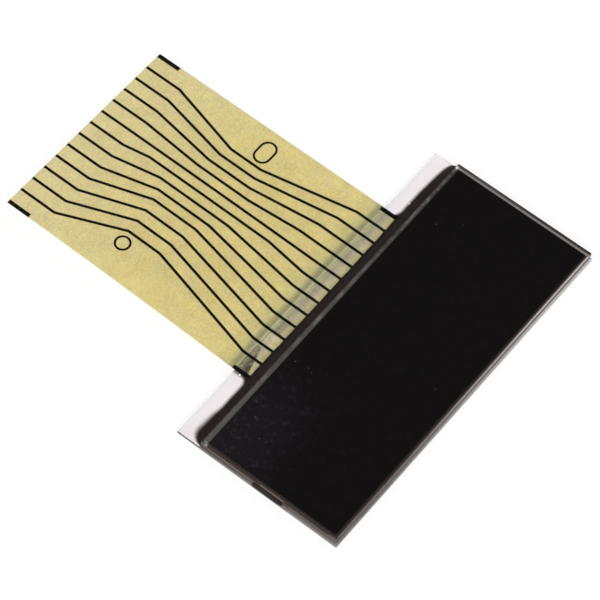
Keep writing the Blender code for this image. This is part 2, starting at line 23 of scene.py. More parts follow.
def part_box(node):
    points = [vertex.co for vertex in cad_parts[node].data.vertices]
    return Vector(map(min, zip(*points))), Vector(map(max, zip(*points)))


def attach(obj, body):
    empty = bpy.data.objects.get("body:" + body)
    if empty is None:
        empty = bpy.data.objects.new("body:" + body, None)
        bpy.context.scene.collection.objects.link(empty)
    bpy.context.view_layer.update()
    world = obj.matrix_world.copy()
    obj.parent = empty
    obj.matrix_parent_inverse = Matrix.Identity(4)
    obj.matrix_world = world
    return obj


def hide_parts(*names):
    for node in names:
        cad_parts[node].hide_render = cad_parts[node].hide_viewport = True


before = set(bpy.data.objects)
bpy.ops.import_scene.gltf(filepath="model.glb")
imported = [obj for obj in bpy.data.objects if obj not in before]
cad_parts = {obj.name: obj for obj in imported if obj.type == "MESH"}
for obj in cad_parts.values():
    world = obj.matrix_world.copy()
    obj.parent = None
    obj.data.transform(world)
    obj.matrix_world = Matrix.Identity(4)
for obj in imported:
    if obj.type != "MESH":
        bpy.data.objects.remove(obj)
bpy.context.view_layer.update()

LOG = logging.getLogger("display_scene")
MM = 0.001

Colour = tuple[float, float, float, float]
Level = tuple[int, int, int]
Span = tuple[float, float]
Triple = tuple[float, float, float]
Socket = bpy.types.NodeSocket
Material = bpy.types.Material
BMesh = bmesh.types.BMesh

BLACK: Level = (0, 0, 0)
WHITE: Level = (255, 255, 255)


def linear(levels: Level) -> Colour:
    """Turn display values from 0 to 255 into a linear colour.

    Args:
        levels: Red, green and blue as seen on a screen.

    Returns:
        The same colour in linear light, with an alpha of 1.
    """
    shares = [level / 255 for level in levels]
    light = [s / 12.92 if s <= 0.04045 else ((s + 0.055) / 1.055) ** 2.4 for s in shares]
    return (light[0], light[1], light[2], 1.0)


class Side(Enum):
    """Sides of the display, named as they lie when the film points away from the viewer."""

    LEFT = (-1, 0)
    RIGHT = (1, 0)
    NEAR = (0, -1)
    FAR = (0, 1)


class NodeBench:
    """Adds and links the nodes of one node tree."""

    def __init__(self, tree: bpy.types.NodeTree) -> None:
        """Keep the tree that the nodes go into."""
        self.tree = tree

    def add(self, kind: str, inputs: dict | None = None, **settings) -> bpy.types.Node:
        """Add one node.

        Args:
            kind: The node's type.
            inputs: Values or sockets by input name or number.
            settings: Properties of the node itself.

        Returns:
            The new node.
        """
        node = self.tree.nodes.new(kind)
        for name, value in settings.items():
            setattr(node, name, value)
        for key, value in (inputs or {}).items():
            self.feed(node.inputs[key], value)
        return node

    def feed(self, socket: Socket, value: Socket | float | tuple) -> None:
        """Link a socket to an input, or set the input's own value.

        Args:
            socket: The input.
            value: A socket to link, or a plain value.
        """
        if isinstance(value, Socket):
            self.tree.links.new(value, socket)
        else:
            socket.default_value = value

    def math(self, operation: str, *values: Socket | float) -> Socket:
        """Add one arithmetic step and give its result."""
        return self.add("ShaderNodeMath", dict(enumerate(values)), operation=operation).outputs[0]

    def both(self, first: Socket, second: Socket) -> Socket:
        """Give the part that two masks share."""
        return self.math("MULTIPLY", first, second)

    def eased(self, mask: Socket, strength: Socket | float) -> Socket:
        """Give a factor that is 1 where a mask is 0 and 1 plus the strength where it is 1."""
        return self.math("MULTIPLY_ADD", mask, strength, 1.0)

    def mix(self, share: Socket | float, first: Socket | Colour, second: Socket | Colour) -> Socket:
        """Mix two colours by a share from 0 to 1."""
        return self.add("ShaderNodeMix", {0: share, 6: first, 7: second}, data_type="RGBA").outputs[2]

    def blend(self, share: Socket | float, first: Level, second: Level) -> Socket:
        """Mix two screen tones by a share from 0 to 1."""
        return self.mix(share, linear(first), linear(second))

    def tone(self, colour: Socket | Colour, strength: Socket | float) -> Socket:
        """Make a colour lighter or darker by a factor."""
        inputs = {0: colour if isinstance(colour, Socket) else colour[:3], "Scale": strength}
        return self.add("ShaderNodeVectorMath", inputs, operation="SCALE").outputs[0]

    def ramp(self, value: Socket, low: float, high: float, start: float = 0.0, end: float = 1.0) -> Socket:
        """Follow a value smoothly: give the start up to its low level and the end from its high level on."""
        inputs = {0: value, 1: low, 2: high, 3: start, 4: end}
        return self.add("ShaderNodeMapRange", inputs, interpolation_type="SMOOTHSTEP").outputs[0]

    def stops(self, value: Socket, tones: tuple[tuple[float, Level], ...]) -> Socket:
        """Follow a value through a row of tones.

        Args:
            value: What is followed.
            tones: Rising places and the screen tone at each.

        Returns:
            The colour at the value.
        """
        low, high = tones[0][0], tones[-1][0]
        share = self.add("ShaderNodeMapRange", {0: value, 1: low, 2: high}).outputs[0]
        node = self.add("ShaderNodeValToRGB", {0: share})
        elements = node.color_ramp.elements
        while len(elements) < len(tones):
            elements.new(0.5)
        # The ramp sorts its stops by place, so the tones follow once every place is set.
        for element, (place, _) in zip(elements, tones):
            element.position = (place - low) / (high - low)
        for element, (_, tone) in zip(elements, tones):
            element.color = linear(tone)
        return node.outputs[0]

    def between(self, value: Socket, low: float, high: float, blur: float) -> Socket:
        """Give 1 where a value lies between two levels and 0 elsewhere, with blurred edges.

        Args:
            value: What is followed.
            low: The lower level.
            high: The upper level.
            blur: How wide each edge is.

        Returns:
            A mask from 0 to 1.
        """
        rise = self.ramp(value, low - blur / 2, low + blur / 2)
        fall = self.ramp(value, high - blur / 2, high + blur / 2, 1.0, 0.0)
        return self.both(rise, fall)

    def clouds(self, place: Socket, scale: Socket | float, detail: float, roughness: float = 0.5) -> Socket:
        """Give cloudy noise around 0.5, with a scale in clouds per millimetre."""
        inputs = {"Vector": place, "Scale": scale, "Detail": detail, "Roughness": roughness}
        return self.add("ShaderNodeTexNoise", inputs).outputs["Fac"]

    def millimetres(self) -> Socket:
        """Give the object's own coordinates in millimetres."""
        place = self.add("ShaderNodeTexCoord").outputs["Object"]
        return self.tone(place, 1 / MM)

    def group(self, tree: bpy.types.NodeTree, inputs: dict) -> Socket:
        """Place a shared node group with its own values and give its result."""
        return self.add("ShaderNodeGroup", inputs, node_tree=tree).outputs[0]


def new_group(name: str, output: str, *factors: str) -> tuple:
    """Start a shader node group that takes a place and some factors and gives one number.

    Args:
        name: The group's name.
        output: The result's name.
        factors: The factors' names.

    Returns:
        The group's tree, its bench, its inputs by name and the socket that takes its result.
    """
    tree = bpy.data.node_groups.new(name, "ShaderNodeTree")
    tree.interface.new_socket(name="Vector", in_out="INPUT", socket_type="NodeSocketVector")
    for factor in factors:
        tree.interface.new_socket(name=factor, in_out="INPUT", socket_type="NodeSocketFloat")
    tree.interface.new_socket(name=output, in_out="OUTPUT", socket_type="NodeSocketFloat")
    bench = NodeBench(tree)
    given = bench.add("NodeGroupInput").outputs
    return tree, bench, given, bench.add("NodeGroupOutput").inputs[output]


@cache
def mottle_group() -> bpy.types.NodeTree:
    """Make the shared uneven tone once: a fine grain over a coarse one, around 1.

    Returns:
        The group's tree.
    """
    coarse_scale, coarse_weight = 0.13, 0.5
    tree, bench, given, result = new_group("uneven_tone", "Tone", "Grain", "Depth")
    fine = bench.clouds(given["Vector"], given["Grain"], 2.0, 0.6)
    coarse = bench.clouds(given["Vector"], bench.math("MULTIPLY", given["Grain"], coarse_scale), 1.0)
    total = bench.math("ADD", fine, bench.math("MULTIPLY", coarse, coarse_weight))
    centred = bench.math("SUBTRACT", total, (1 + coarse_weight) / 2)
    bench.feed(result, bench.eased(centred, given["Depth"]))
    return tree


@cache
def smudge_group() -> bpy.types.NodeTree:
    """Make the shared mask of faint smudges once.

    Returns:
        The group's tree.
    """
    tree, bench, given, result = new_group("faint_smudges", "Smudge", "Size")
    cloud = bench.clouds(given["Vector"], bench.math("DIVIDE", 1.0, given["Size"]), 3.0)
    bench.feed(result, bench.ramp(cloud, 0.5, 0.78))
    return tree


class Surface(NodeBench):
    """One material's node tree with its Principled shader and the base colour as it is built up."""

    BAND_EDGE = (9.33, 9.59)
    BAND_SKEW = -0.0065

    def __init__(self, name: str, roughness: float, ior: float = 1.5, specular: float = 0.1,
                 transmission: float = 0.0) -> None:
        """Start the material.

        Args:
            name: The material's name.
            roughness: Plain roughness, unless a mask is linked later.
            ior: Refraction index.
            specular: Strength of the plain reflection, 0.5 as the index gives it. The room is white to
                reflections, so most faces have less.
            transmission: Share of light that passes.
        """
        self.material = bpy.data.materials.new(name)
        self.material.use_nodes = True
        super().__init__(self.material.node_tree)
        self.shader = self.tree.nodes["Principled BSDF"]
        for key, value in (("Roughness", roughness), ("IOR", ior), ("Specular IOR Level", specular),
                           ("Transmission Weight", transmission)):
            self.shader.inputs[key].default_value = value
        self.place = self.millimetres()
        parts = self.add("ShaderNodeSeparateXYZ", {0: self.place})
        self.x, self.y, self.z = parts.outputs
        self.colour: Socket | Colour = linear(WHITE)

    def set(self, key: str, value: Socket | float | tuple) -> None:
        """Feed one input of the shader."""
        self.feed(self.shader.inputs[key], value)

    def coat(self, mask: Socket, tone: Socket | Level) -> None:
        """Lay another tone over the base colour where a mask is 1."""
        colour = tone if isinstance(tone, Socket) else linear(tone)
        self.colour = self.mix(mask, self.colour, colour)

    def mottle(self, grain: float, depth: float) -> None:
        """Make the base colour uneven, with grains per millimetre and how deep they go."""
        tone = self.group(mottle_group(), {"Vector": self.place, "Grain": grain, "Depth": depth})
        self.colour = self.tone(self.colour, tone)

    def smudges(self, size: float) -> Socket:
        """Give a mask of faint smudges of a size in millimetres."""
        return self.group(smudge_group(), {"Vector": self.place, "Size": size})

    def bump(self, grain: float, height: float, strength: float) -> None:
        """Roughen the surface, with grains per millimetre, their height in metres and their strength."""
        inputs = {"Height": self.clouds(self.place, grain, 3.0), "Strength": strength, "Distance": height}
        self.set("Normal", self.add("ShaderNodeBump", inputs).outputs["Normal"])

    def finished(self) -> Material:
        """Feed the base colour to the shader and give the material."""
        self.set("Base Color", self.colour)
        return self.material

    def spot(self, place: Triple, size: float, light: float) -> Socket:
        """Give a small soft spot with an uneven rim.

        Args:
            place: The spot's middle in millimetres.
            size: Its radius in millimetres.
            light: How strong it is in the middle.

        Returns:
            A mask from 0 to light.
        """
        away = self.add("ShaderNodeVectorMath", {0: self.place, 1: place}, operation="DISTANCE")
        rim = self.clouds(self.place, 3.0, 2.0)
        ragged = self.math("MULTIPLY_ADD", rim, size * 0.8, away.outputs["Value"])
        return self.ramp(ragged, size * 0.5, size * 1.5, light, 0.0)

    def far_band(self, above: float = 0.0) -> Socket:
        """Mask the pale band along the polarizer's far edge, askew, and nearer on a higher face."""
        askew = self.math("MULTIPLY_ADD", self.x, self.BAND_SKEW, self.y)
        return self.ramp(askew, *(place - above for place in self.BAND_EDGE))


@dataclass(frozen=True)
class PlainFinish:
    """One uneven colour with its own gloss.

    The relief gives grains per millimetre, their height in metres and the strength of the effect.
    """

    name: str
    colour: Level
    roughness: float
    specular: float = 0.1
    grain: float = 3.0
    depth: float = 0.4
    alpha: float = 1.0
    relief: Triple | None = None

    def material(self) -> Material:
        """Build the material.

        Returns:
            The finished material.
        """
        surface = Surface(self.name, self.roughness, specular=self.specular)
        surface.colour = linear(self.colour)
        surface.mottle(self.grain, self.depth)
        surface.set("Alpha", self.alpha)
        if self.relief:
            surface.bump(*self.relief)
        return surface.finished()


INK = PlainFinish("carbon_ink", (9, 7, 6), 0.6, 0.02, 9.0, 0.6, relief=(14.0, 0.004 * MM, 1.0))
RESIN = PlainFinish("port_resin", (38, 33, 31), 0.4, 0.06, 2.5, 0.5, relief=(3.0, 0.01 * MM, 0.6))
INNER_LAYERS = (
    ("edge_seal", PlainFinish("perimeter_seal", (62, 57, 53), 0.5)),
    ("liquid_crystal", PlainFinish("liquid_crystal", (26, 24, 28), 0.15)),
    ("bond_adhesive", PlainFinish("bond_adhesive", (214, 208, 188), 0.4, alpha=0.12)),
)


@dataclass(frozen=True)
class FilmFinish:
    """Yellow see-through film with a mottled coat, greyer where it is bonded.

    Each band gives how far from the display's middle a tone lies, and the tone. Each gap between tracks
    gives its middle, its tone beside the sealant and its tone further out on the glass. The crease shade is
    painted shade: a dark grey patch at the left where the film is creased, above a slanting line through its
    start.
    """

    free_end: Level = (216, 205, 158)
    warm: Level = (215, 200, 136)
    cool: Level = (212, 199, 143)
    # Painted shadow: from about 14.25 to 15.1, just past the glass's far edge, the bands darken where the
    # film hovers over the floor.
    bands: tuple[tuple[float, Level], ...] = (
        (11.8, (198, 196, 150)), (12.1, (210, 208, 160)), (12.5, (207, 204, 169)), (13.0, (198, 193, 173)),
        (13.4, (189, 187, 160)), (13.8, (203, 201, 168)), (14.05, (203, 201, 157)), (14.25, (171, 168, 136)),
        (14.6, (156, 151, 111)), (14.85, (164, 158, 120)), (15.1, (175, 168, 124)), (15.5, (199, 191, 137)),
        (16.0, (204, 193, 135)),
    )
    gap_tones: tuple[Triple, ...] = (
        (-12.5, 1.0, 1.1), (-10.0, 1.08, 1.26), (-7.4, 0.95, 0.8), (2.7, 1.03, 1.04), (5.3, 1.0, 1.05),
    )
    pitch: float = 2.54
    bands_end: Span = (15.9, 18.2)
    paling: Span = (30.0, 56.0)
    paled: float = 0.7
    further_out: Span = (12.1, 12.9)
    bonded: Triple = (11.0, 13.75, 0.35)
    crease_shade_start: Span = (-15.3, 12.34)
    crease_shade_slope: float = 0.27
    crease_shade_near_edge: Span = (-0.15, 0.2)
    crease_shade_far_edge: Span = (14.05, 14.25)
    crease_shade_right_edge: Span = (-12.0, -11.4)
    crease_shade_run: Span = (12.6, 13.8)
    crease_shade_depth: Span = (-0.8, -0.38)

    def material(self) -> Material:
        """Build the film's material.

        Returns:
            The finished material.
        """
        surface = Surface("polyester_film", 0.2, ior=1.15, specular=0.5, transmission=1.0)
        warmth = surface.ramp(surface.clouds(surface.place, 0.8, 2.0), 0.35, 0.65)
        free = surface.blend(warmth, self.cool, self.warm)
        paling = surface.ramp(surface.y, *self.paling, 0.0, self.paled)
        free = surface.mix(paling, free, linear(self.free_end))
        surface.colour = surface.stops(surface.y, self.bands)
        surface.coat(surface.ramp(surface.y, *self.bands_end), free)
        surface.colour = surface.tone(surface.colour, self.gap_tone(surface))
        # Painted shade: the film darkens where it is creased at the left.
        fade = surface.ramp(surface.y, *self.crease_shade_run, *self.crease_shade_depth)
        surface.colour = surface.tone(surface.colour, surface.eased(self.crease_shade(surface), fade))
        surface.mottle(3.2, 0.42)
        surface.bump(4.0, 0.001 * MM, 0.5)
        return surface.finished()

    def gap_tone(self, surface: Surface) -> Socket:
        """Give the tone of the bond in each gap between tracks: some bonded paler, some darker.

        Args:
            surface: The film's material.

        Returns:
            A factor around 1.
        """
        tone: Socket | float = 1.0
        for place, beside_bead, further in self.gap_tones:
            inside = surface.between(surface.x, place - self.pitch / 2, place + self.pitch / 2, 0.3)
            strength = surface.ramp(surface.y, *self.further_out, beside_bead - 1.0, further - 1.0)
            tone = surface.math("MULTIPLY", tone, surface.eased(inside, strength))
        on_glass = surface.between(surface.y, *self.bonded)
        return surface.eased(on_glass, surface.math("SUBTRACT", tone, 1.0))

    def crease_shade(self, surface: Surface) -> Socket:
        """Give the painted shade of the film's creases at the left as a mask with a torn look.

        Args:
            surface: The film's material.

        Returns:
            A mask from 0 to 1.
        """
        x, y = self.crease_shade_start
        slant = surface.math("MULTIPLY_ADD", surface.x, self.crease_shade_slope, y - self.crease_shade_slope * x)
        lower = surface.ramp(surface.math("SUBTRACT", surface.y, slant), *self.crease_shade_near_edge)
        upper = surface.ramp(surface.y, *self.crease_shade_far_edge, 1.0, 0.0)
        across = surface.ramp(surface.x, *self.crease_shade_right_edge, 1.0, 0.0)
        torn = surface.ramp(surface.clouds(surface.place, 1.3, 2.0), 0.3, 0.55, 0.55, 1.0)
        return surface.both(surface.both(surface.both(lower, upper), across), torn)


@dataclass(frozen=True)
class SealantFinish:
    """Dark brown sealant, see-through where it thins out at its toe."""

    body: Level = (33, 25, 22)
    thin: Level = (96, 74, 60)
    slope: Span = (10.3, 11.0)
    slope_tone: float = 0.7
    full_cover: float = 0.9
    least_cover: float = 0.02
    bubble: Triple = (19.98, 11.72, 0.95)
    bubble_size: float = 0.22

    def material(self) -> Material:
        """Build the sealant's material.

        Returns:
            The finished material.
        """
        surface = Surface("sealant", 0.32, ior=1.45, specular=0.08)
        thickness = surface.add("ShaderNodeAttribute", attribute_name=SealantBead.THICKNESS).outputs["Fac"]
        surface.colour = surface.blend(surface.ramp(thickness, 0.0, 1.0, 1.0, 0.0), self.body, self.thin)
        # Painted light and shade: the bead is lighter near the front plate and turns darker down its slope.
        slope = surface.ramp(surface.y, *self.slope, 1.0, self.slope_tone)
        surface.colour = surface.tone(surface.colour, slope)
        surface.mottle(2.4, 1.5)
        cover = surface.ramp(thickness, 0.0, self.full_cover, self.least_cover, 1.0)
        bubble = surface.spot(self.bubble, self.bubble_size, 1.0)
        surface.set("Alpha", surface.both(cover, surface.math("SUBTRACT", 1.0, bubble)))
        surface.bump(2.2, 0.01 * MM, 0.6)
        return surface.finished()


@dataclass(frozen=True)
class ClearGlassFinish:
    """Clear plate glass of the bare ledge, with a faint lilac conductor coat.

    A stain and a glint lie beside the film's left index bar.
    """

    tint: Level = (242, 235, 238)
    edge_tint: Level = (236, 233, 234)
    stain: Level = (112, 96, 86)
    near_rim: Span = (13.55, 13.75)
    far_rim: Span = (14.0, 14.1)
    stain_across: Triple = (-17.08, -16.3, 0.5)
    stain_along: Triple = (11.8, 14.1, 0.3)
    glint: Triple = (-17.0, 12.95, 0.91)
    glint_size: float = 0.2
    glint_strength: float = 0.9
    smudge_size: float = 5.0
    smudge_roughness: float = 0.02

    def material(self) -> Material:
        """Build the clear glass.

        Returns:
            The finished material.
        """
        surface = Surface("clear_glass", 0.0, ior=1.52, specular=0.5, transmission=1.0)
        surface.colour = surface.blend(surface.ramp(surface.y, *self.near_rim), self.tint, self.edge_tint)
        # Painted light: the glass turns white along its far rim.
        surface.coat(surface.ramp(surface.y, *self.far_rim), WHITE)
        beside_film = surface.both(surface.between(surface.x, *self.stain_across),
                                   surface.between(surface.y, *self.stain_along))
        surface.coat(beside_film, self.stain)
        surface.mottle(1.5, 0.02)
        # Painted glint: a small spot beside the left index bar glows in the glass's material.
        glint = surface.spot(self.glint, self.glint_size, 1.0)
        surface.set("Emission Color", surface.blend(glint, BLACK, WHITE))
        surface.set("Emission Strength", self.glint_strength)
        smudges = surface.smudges(self.smudge_size)
        surface.set("Roughness", surface.math("MULTIPLY", smudges, self.smudge_roughness))
        return surface.finished()


@dataclass(frozen=True)
class CutEdgeFinish:
    """Scribed and broken side of a glass plate, frosted and a little uneven.

    The tones are painted light and shade: each side has its own, as light falls on it and the glass reflects
    the room, and the tone runs from one end of the side to the other. The front plate's side is lighter or
    darker by one factor at its foot and another at its top, given for both ends. The left side is darker
    round the fill port.
    """

    name: str
    start: Level
    end: Level
    along_x: bool
    depth: float = 0.55
    reach: Span = (-14.0, 14.0)
    port_span: Span | None = None
    foot: Span = (1.0, 1.0)
    top: Span = (1.0, 1.0)
    front_foot: float = 0.925
    front_rise: Span = (1.15, 1.6)
    port_span_depth: float = -0.6

    def material(self) -> Material:
        """Build the edge's material.

        Returns:
            The finished material.
        """
        surface = Surface(self.name, 0.3, ior=1.52, specular=0.5)
        where = surface.x if self.along_x else surface.y
        run = surface.ramp(where, *self.reach)
        # Painted light and shade: the side's tone runs from one end to the other.
        surface.colour = surface.blend(run, self.start, self.end)
        foot = surface.ramp(run, 0.0, 1.0, *self.foot)
        top = surface.ramp(run, 0.0, 1.0, *self.top)
        rise = surface.ramp(surface.z, *self.front_rise)
        upper = surface.math("MULTIPLY_ADD", rise, surface.math("SUBTRACT", top, foot), foot)
        on_front = surface.math("GREATER_THAN", surface.z, self.front_foot)
        change = surface.eased(on_front, surface.math("SUBTRACT", upper, 1.0))
        surface.colour = surface.tone(surface.colour, change)
        if self.port_span:
            by_port = surface.between(where, *self.port_span, 1.0)
            surface.colour = surface.tone(surface.colour, surface.eased(by_port, self.port_span_depth))
        surface.mottle(1.8, self.depth)
        surface.bump(6.0, 0.01 * MM, 1.0)
        return surface.finished()


@dataclass(frozen=True)
class MarginFinish:
    """Bare glass around the polarizer, seen as the dark seal and cell under it."""

    left: Level = (60, 51, 48)
    left_lit: Level = (100, 91, 85)
    near_left: Level = (98, 91, 87)
    near_right: Level = (182, 175, 170)
    far: Level = (90, 86, 82)
    far_right: Level = (72, 68, 65)
    far_foot: Level = (50, 46, 44)
    sparkle: Level = (118, 115, 111)
    right_near: Level = (50, 46, 45)
    right_far: Level = (66, 62, 60)
    line: Level = (131, 125, 122)
    under: Level = (24, 22, 23)
    # Painted light spots at the front plate's corners: a glint at the left corner, and at the right the white
    # floor seen through a notch.
    corner_light: Level = (225, 225, 222)
    front_top: float = 1.64
    corner_lights: tuple[tuple[float, float, float, float], ...] = (
        (28.85, 9.9, 0.34, 1.0), (-28.75, 9.3, 0.32, 0.3), (-28.4, 9.5, 0.3, 0.2),
    )
    near_run: Span = (-20.0, 28.0)
    near_edge: Span = (-13.58, -13.71)
    left_edge: Span = (-28.3, -28.5)
    lit_edge: Span = (-28.65, -28.85)
    lit_port: Triple = (-4.6, -0.4, 0.8)
    lit_corner: Triple = (-14.5, -12.5, 0.6)
    right_run: Span = (-8.0, 6.0)
    right_edge: Span = (28.65, 28.8)
    right_line: Triple = (28.69, 29.05, 0.14)
    far_fall: Span = (9.75, 10.2)
    far_widening: Span = (12.0, 22.0)
    far_wider: float = 0.13
    sparkle_run: Span = (4.0, 20.0)
    sparkle_levels: Span = (0.5, 0.68)
    patch_levels: Span = (0.35, 0.68)
    patch_tones: Span = (0.7, 1.45)
    patch_reach: Triple = (-18.0, 30.0, 8.0)

    def material(self) -> Material:
        """Build the margin's material.

        Returns:
            The finished material.
        """
        surface = Surface("sealed_margin", 0.12, ior=1.52, specular=0.08)
        # Painted reflection: the near margin turns lighter towards the right.
        near = surface.blend(surface.ramp(surface.x, *self.near_run), self.near_left, self.near_right)
        surface.colour = linear(self.under)
        surface.coat(surface.ramp(surface.y, *self.near_edge), near)
        surface.coat(surface.ramp(surface.x, *self.left_edge), self.left)
        beside_port = surface.between(surface.y, *self.lit_port)
        corner = surface.between(surface.y, *self.lit_corner)
        lit = surface.math("MAXIMUM", beside_port, corner)
        surface.coat(surface.both(lit, surface.ramp(surface.x, *self.lit_edge)), self.left_lit)
        right = surface.blend(surface.ramp(surface.y, *self.right_run), self.right_near, self.right_far)
        surface.coat(surface.ramp(surface.x, *self.right_edge), right)
        surface.coat(surface.between(surface.x, *self.right_line), self.line)
        widening = surface.ramp(surface.x, *self.far_widening)
        wider = surface.math("MULTIPLY_ADD", widening, -self.far_wider, surface.y)
        foot = surface.ramp(wider, *self.far_fall)
        far = surface.mix(foot, self.sparkling(surface), linear(self.far_foot))
        surface.coat(surface.far_band(), far)
        surface.mottle(2.6, 0.7)
        # Painted glint and painted light seen through the notch, at the front plate's corners.
        for x, y, size, light in self.corner_lights:
            surface.coat(surface.spot((x, y, self.front_top), size, light), self.corner_light)
        return surface.finished()

    def sparkling(self, surface: Surface) -> Socket:
        """Give the far margin's tone: painted sparkles of light show in it towards the right.

        Args:
            surface: The margin's material.

        Returns:
            The tone as a colour.
        """
        along = surface.ramp(surface.x, *self.sparkle_run)
        # Painted sparkles: light specks towards the right.
        sparkle_mask = surface.ramp(surface.clouds(surface.place, 2.2, 4.0), *self.sparkle_levels)
        plain = surface.blend(along, self.far, self.far_right)
        uneven = surface.clouds(surface.place, 0.55, 3.0)
        patches = surface.ramp(uneven, *self.patch_levels, *self.patch_tones)
        on_middle = surface.between(surface.x, *self.patch_reach)
        strength = surface.eased(on_middle, surface.math("SUBTRACT", patches, 1.0))
        return surface.mix(surface.both(sparkle_mask, along), surface.tone(plain, strength), linear(self.sparkle))


@dataclass(frozen=True)
class StepFinish:
    """Narrow bare step of the rear plate beside the front one."""

    left: Level = (122, 116, 114)
    left_far: Level = (98, 90, 86)
    right: Level = (198, 192, 190)
    right_corner: Level = (108, 101, 97)
    inward: Span = (-13.98, -13.87)
    left_run: Span = (-2.0, 6.0)
    near_run: Span = (-20.0, 28.0)

    def material(self) -> Material:
        """Build the step's material.

        Returns:
            The finished material.
        """
        surface = Surface("bare_step", 0.15, ior=1.52)
        right = surface.blend(surface.ramp(surface.y, *self.inward), self.right, self.right_corner)
        surface.colour = surface.blend(surface.ramp(surface.y, *self.left_run), self.left, self.left_far)
        # Painted reflection: the near step turns lighter towards the right.
        surface.coat(surface.ramp(surface.x, *self.near_run), right)
        surface.mottle(2.2, 0.4)
        return surface.finished()


@dataclass(frozen=True)
class PolarizerFinish:
    """Black polarizing sheet with faint smudges, more of them towards its far left corner.

    Each speck of dust gives its place and how light it is.
    """

    colour: Level = (12, 10, 11)
    smudge: Level = (40, 37, 42)
    cut: Level = (50, 42, 38)
    worn: Level = (44, 36, 32)
    band: Level = (84, 80, 77)
    dust: Level = (96, 94, 94)
    face_height: float = 1.85
    band_shift: float = 0.075
    speck_size: float = 0.12
    smudge_size: float = 0.8
    to_left: Span = (-8.0, -24.0)
    to_far: Span = (-4.0, 6.0)
    worn_edge: Span = (-13.2, -13.55)
    band_edge: Span = (9.3, 9.4)
    specks: tuple[Triple, ...] = (
        (-10.8, 7.95, 0.9), (-21.2, 6.7, 0.8), (-10.5, 5.8, 0.6), (-23.4, 4.15, 0.5), (19.3, 6.3, 0.5),
        (-10.85, 5.0, 0.5), (-25.05, 7.8, 0.5), (-19.15, 8.15, 0.4), (21.75, 3.3, 0.35),
        (-1.95, -10.05, 0.35),
    )

    def face(self) -> Material:
        """Build the sheet's face.

        Returns:
            The finished material.
        """
        surface = Surface("polarizer_face", 0.22, ior=1.49, specular=0.03)
        corner = surface.both(surface.ramp(surface.x, *self.to_left), surface.ramp(surface.y, *self.to_far))
        reach = surface.math("MULTIPLY_ADD", corner, 0.85, 0.08)
        haze = surface.both(surface.smudges(self.smudge_size), reach)
        surface.colour = surface.blend(surface.math("MULTIPLY", corner, 0.25), self.colour, self.smudge)
        surface.coat(haze, self.smudge)
        surface.coat(surface.ramp(surface.y, *self.worn_edge), self.worn)
        surface.coat(surface.far_band(self.band_shift), self.band)
        for x, y, light in self.specks:
            surface.coat(surface.spot((x, y, self.face_height), self.speck_size, light), self.dust)
        surface.set("Roughness", surface.math("MULTIPLY_ADD", haze, 0.2, 0.2))
        return surface.finished()

    def edge(self) -> Material:
        """Build the sheet's cut edge.

        Returns:
            The finished material.
        """
        surface = Surface("polarizer_edge", 0.4, ior=1.49)
        beside_band = surface.ramp(surface.y, *self.band_edge)
        surface.colour = surface.blend(beside_band, self.cut, self.band)
        surface.mottle(3.0, 0.5)
        return surface.finished()


@dataclass(frozen=True)
class FloorFinish:
    """Plain white floor that keeps the shadow and reads as white to the camera."""

    albedo: float = 0.9
    own_white: float = 1.05
    share: float = 0.75

    def material(self) -> Material:
        """Build the floor's material.

        Returns:
            The finished material.
        """
        material = bpy.data.materials.new("floor_white")
        material.use_nodes = True
        bench = NodeBench(material.node_tree)
        bench.tree.nodes.remove(bench.tree.nodes["Principled BSDF"])
        matt = bench.add("ShaderNodeBsdfDiffuse", {"Color": (self.albedo,) * 3 + (1.0,)})
        white = bench.add("ShaderNodeEmission", {"Strength": self.own_white})
        share = bench.math("MULTIPLY", rays_that_see_white(bench), self.share)
        blend = bench.add("ShaderNodeMixShader", {0: share, 1: matt.outputs[0], 2: white.outputs[0]})
        bench.feed(bench.tree.nodes["Material Output"].inputs["Surface"], blend.outputs[0])
        return material


def rays_that_see_white(bench: NodeBench) -> Socket:
    """Give 1 for rays that see a white room: camera, glossy and transmission rays.

    Args:
        bench: Bench of the tree that asks.

    Returns:
        A mask of 0 or 1.
    """
    rays = bench.add("ShaderNodeLightPath").outputs
    seen = bench.math("MAXIMUM", rays["Is Camera Ray"], rays["Is Glossy Ray"])
    return bench.math("MAXIMUM", seen, rays["Is Transmission Ray"])


def new_piece(bm: BMesh, name: str, replaced: str, materials: list[Material],
              angle: float = pi / 6) -> None:
    """Turn a working mesh into a finished piece that rides on the display.

    Args:
        bm: The working mesh, which is freed.
        name: The piece's name.
        replaced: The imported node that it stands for.
        materials: Materials in the order of the faces' numbers.
        angle: Bends sharper than this stay sharp, and gentler ones are shaded round.
    """
    bmesh.ops.recalc_face_normals(bm, faces=bm.faces)
    mesh = bpy.data.meshes.new(name)
    bm.to_mesh(mesh)
    bm.free()
    for material in materials:
        mesh.materials.append(material)
    mesh.shade_smooth()
    mesh.set_sharp_from_angle(angle=angle)
    piece = bpy.data.objects.new(name, mesh)
    bpy.context.scene.collection.objects.link(piece)
    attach(piece, "root")
    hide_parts(replaced)
    LOG.info("%s: %d faces", name, len(mesh.polygons))


def copied_node(node: str) -> BMesh:
    """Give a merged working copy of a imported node's mesh.

    Args:
        node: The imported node.

    Returns:
        The working mesh.
    """
    bm = bmesh.new()
    bm.from_mesh(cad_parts[node].data)
    bmesh.ops.remove_doubles(bm, verts=bm.verts, dist=0.001 * MM)
    return bm


def dress_node(name: str, material: Material) -> None:
    """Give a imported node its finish.

    Args:
        name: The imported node.
        material: Its new material.
    """
    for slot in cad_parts[name].material_slots:
        slot.material = material
    LOG.info("%s: finish %s", name, material.name)


